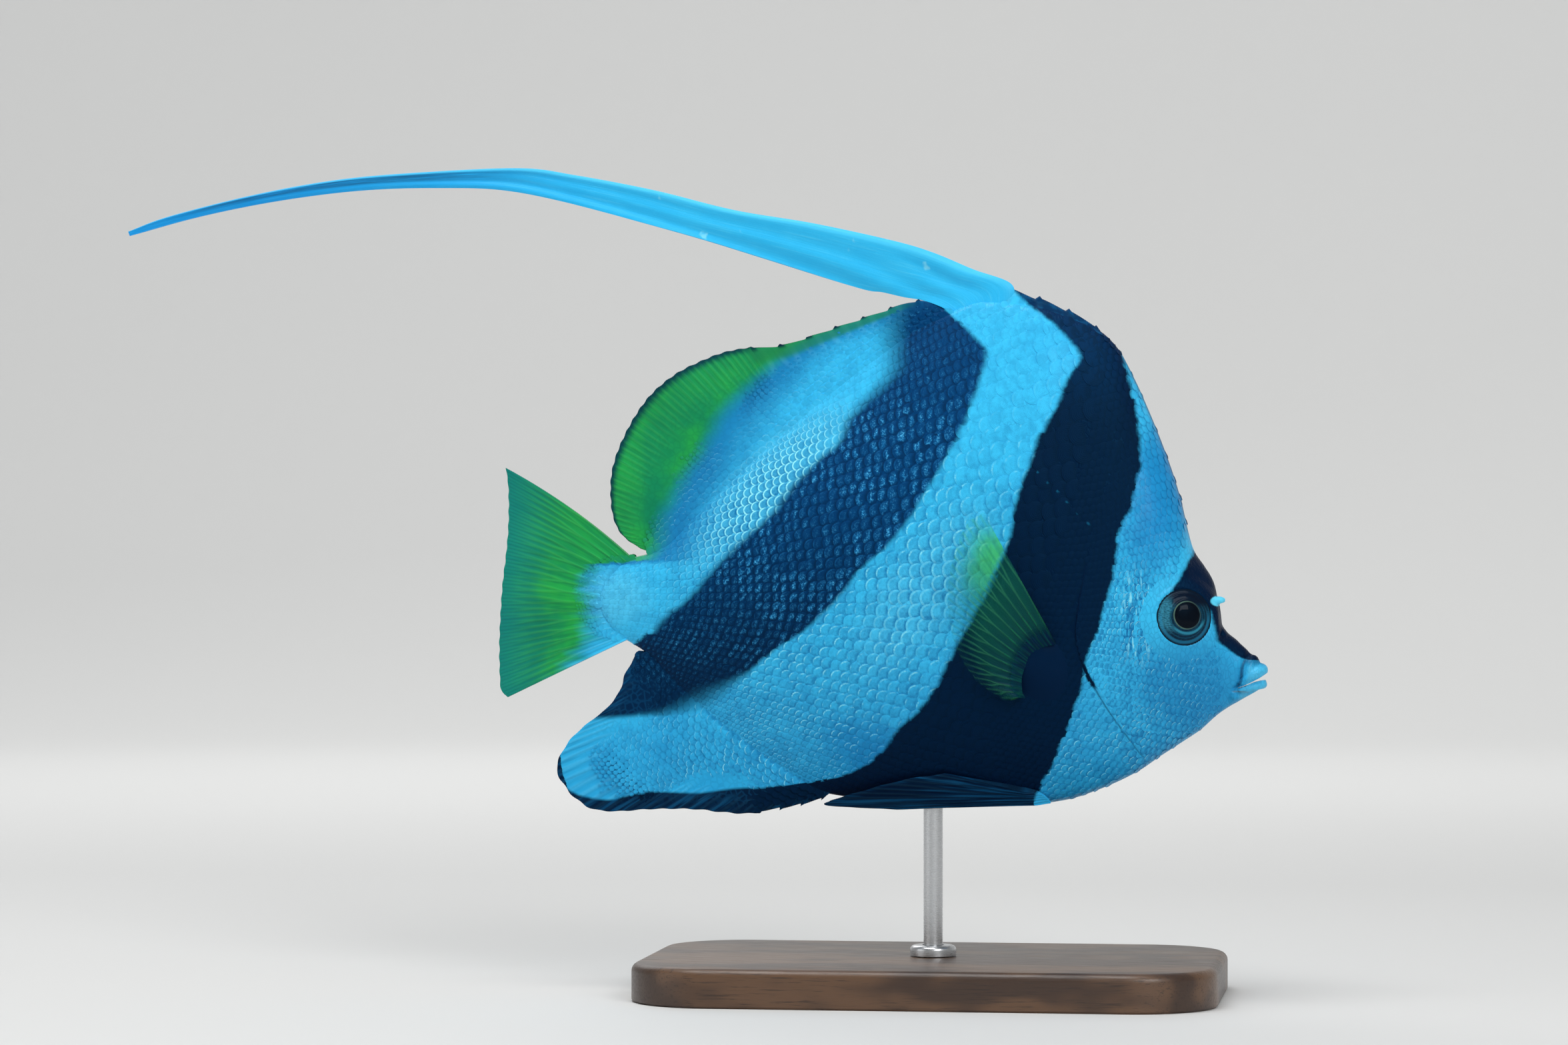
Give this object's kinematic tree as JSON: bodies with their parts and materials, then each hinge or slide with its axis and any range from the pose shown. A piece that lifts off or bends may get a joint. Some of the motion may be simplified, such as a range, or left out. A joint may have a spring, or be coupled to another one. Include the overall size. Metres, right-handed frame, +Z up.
{
  "type": "life-size bannerfish model on a display stand",
  "caption": "Deep-bodied reef fish with a long trailing dorsal banner, swimming pose, held by one rod on a flat stand.",
  "frame": {"origin": "centre of the stand's underside on the floor, below the rod", "axes": "+X to the fish's snout, +Y to the fish's left side, +Z up"},
  "size_m": [0.3003, 0.092, 0.2159],
  "materials": {
    "skin": "scaled skin, icy white with two blue-black bands",
    "eye": "wet cornea over a black pupil with a thin gold ring",
    "dark_fin": "rayed membrane, blue-black",
    "banner": "rayed membrane, white",
    "banded_fin": "rayed membrane, white and blue-black",
    "yellow_fin": "rayed membrane, yellow",
    "stand_wood": "dark, satin",
    "stand_steel": "brushed"
  },
  "bodies": {
    "root": {"head": "skin", "trunk": "skin", "tail_stalk": "skin", "eye_right": "eye", "eye_left": "eye", "fin_dorsal_front": "dark_fin", "fin_banner_root": "banner", "fin_banner_middle": "banner", "fin_banner_tip": "banner", "fin_dorsal_spiny": "banded_fin", "fin_dorsal_soft": "yellow_fin", "fin_tail": "yellow_fin", "fin_anal": "banded_fin", "fin_pectoral_right": "yellow_fin", "fin_pectoral_left": "yellow_fin", "fin_pelvic_right": "dark_fin", "fin_pelvic_left": "dark_fin", "stand_base": "stand_wood", "stand_rod": "stand_steel", "stand_collar": "stand_steel"}
  },
  "joints": []
}
